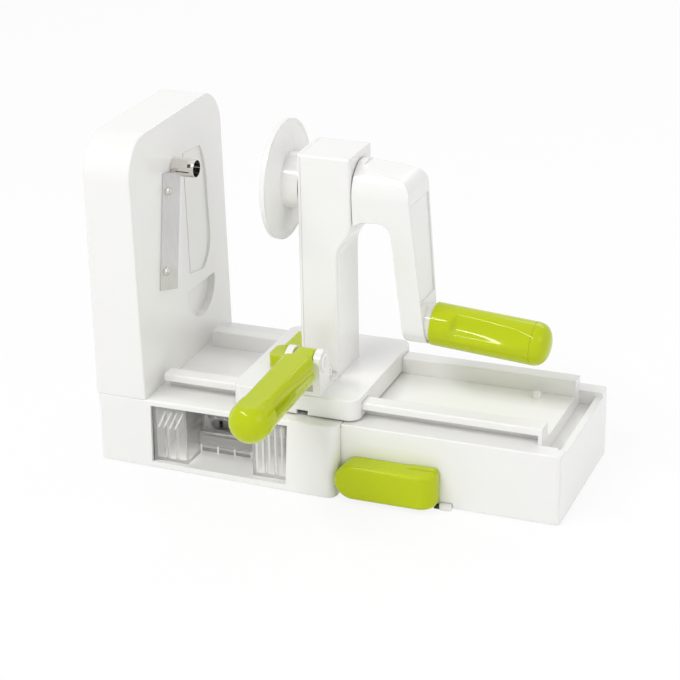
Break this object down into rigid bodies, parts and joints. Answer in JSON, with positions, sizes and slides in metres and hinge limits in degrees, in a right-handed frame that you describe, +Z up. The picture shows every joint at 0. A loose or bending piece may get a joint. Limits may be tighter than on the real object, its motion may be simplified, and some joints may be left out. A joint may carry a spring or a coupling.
{
  "type": "spiralizer",
  "caption": "Hand cranked tabletop vegetable spiralizer: bladed tower, sliding carriage with crank and pronged disc, storage drawer and lever suction foot.",
  "frame": {"origin": "centre of the suction cup's flat underside, in the plane of the crank axle", "axes": "+Z up, +X from the blade tower to the crank end, -Y towards the cook"},
  "size_m": [0.3245, 0.2314, 0.2349],
  "materials": {
    "warm_white_plastic": "gloss",
    "lime_green_plastic": "gloss",
    "bright_steel": "brushed",
    "polished_steel": "polished",
    "zinc_screw": "satin",
    "clear_plastic": "clear",
    "bearing_plastic": "matte",
    "black_rubber": "matte"
  },
  "bodies": {
    "base": {"base_left_shell": "warm_white_plastic", "base_right_shell": "warm_white_plastic", "guide_rail_front": "warm_white_plastic", "guide_rail_rear": "warm_white_plastic", "rail_screws": "zinc_screw", "track_stop": "warm_white_plastic", "bottom_cover": "warm_white_plastic", "cover_screws": "zinc_screw", "rubber_feet": "black_rubber", "suction_cup": "black_rubber", "cup_release_tab": "warm_white_plastic", "cup_tongue": "black_rubber", "lever_bush": "bearing_plastic", "tower_housing": "warm_white_plastic", "tower_back_cover": "warm_white_plastic", "tower_screws": "zinc_screw", "knife_blade": "bright_steel", "knife_rivets": "polished_steel", "coring_tube": "polished_steel"},
    "drawer": {"storage_drawer": "clear_plastic", "coarse_insert_carrier": "clear_plastic", "coarse_insert_comb": "bright_steel", "fine_insert_carrier": "clear_plastic", "fine_insert_comb": "bright_steel"},
    "suction_lever": {"suction_lever": "lime_green_plastic", "lever_shaft": "polished_steel", "lever_cam": "bearing_plastic"},
    "suction_stem": {"suction_stem": "bearing_plastic"},
    "carriage": {"carriage_plate": "warm_white_plastic", "column_shell": "warm_white_plastic", "column_cover": "warm_white_plastic", "column_cover_screws": "zinc_screw", "column_screws": "zinc_screw", "shaft_bush_rear": "bearing_plastic", "shaft_bush_front": "bearing_plastic", "handle_bracket": "warm_white_plastic", "handle_pin": "polished_steel", "latch_bracket": "warm_white_plastic", "latch_pin": "polished_steel"},
    "crank": {"crank_shaft": "polished_steel", "shaft_ring": "polished_steel", "food_disc": "warm_white_plastic", "crank_arm": "warm_white_plastic", "grip_spindle": "warm_white_plastic", "spindle_washer": "polished_steel"},
    "grip": {"crank_grip": "lime_green_plastic", "grip_end_cap": "lime_green_plastic"},
    "push_handle": {"push_handle": "lime_green_plastic"},
    "release_latch": {"release_latch": "lime_green_plastic"}
  },
  "joints": [
    {"name": "drawer_slide", "type": "slide", "parent": "base", "child": "drawer", "axis": [0, -1, 0], "range_m": [0, 0.085]},
    {"name": "suction_lever_turn", "type": "hinge", "parent": "base", "child": "suction_lever", "pos_m": [0, -0.0665, 0.0155], "axis": [0, -1, 0], "range_deg": [0, 90]},
    {"name": "suction_stem_lift", "type": "slide", "parent": "base", "child": "suction_stem", "axis": [0, 0, 1], "range_m": [0, 0.003], "deforming": ["suction_cup"]},
    {"name": "carriage_slide", "type": "slide", "parent": "base", "child": "carriage", "axis": [1, 0, 0], "range_m": [-0.05, 0.0965]},
    {"name": "crank_turn", "type": "hinge", "parent": "carriage", "child": "crank", "pos_m": [-0.0185, 0, 0.1945], "axis": [1, 0, 0], "continuous": true},
    {"name": "grip_spin", "type": "hinge", "parent": "crank", "child": "grip", "pos_m": [0.02943, 0, 0.105], "axis": [0.9974, 0, -0.0715], "continuous": true},
    {"name": "push_handle_fold", "type": "hinge", "parent": "carriage", "child": "push_handle", "pos_m": [-0.041, -0.0459, 0.0865], "axis": [-1, 0, 0], "range_deg": [0, 90]},
    {"name": "release_latch_lift", "type": "hinge", "parent": "carriage", "child": "release_latch", "pos_m": [-0.06, -0.0045, 0.078], "axis": [0, 1, 0], "range_deg": [0, 12]}
  ],
  "couplings": [
    {"joint": "suction_lever_turn", "follows": "suction_stem_lift", "rad_per_m": 523.59}
  ]
}
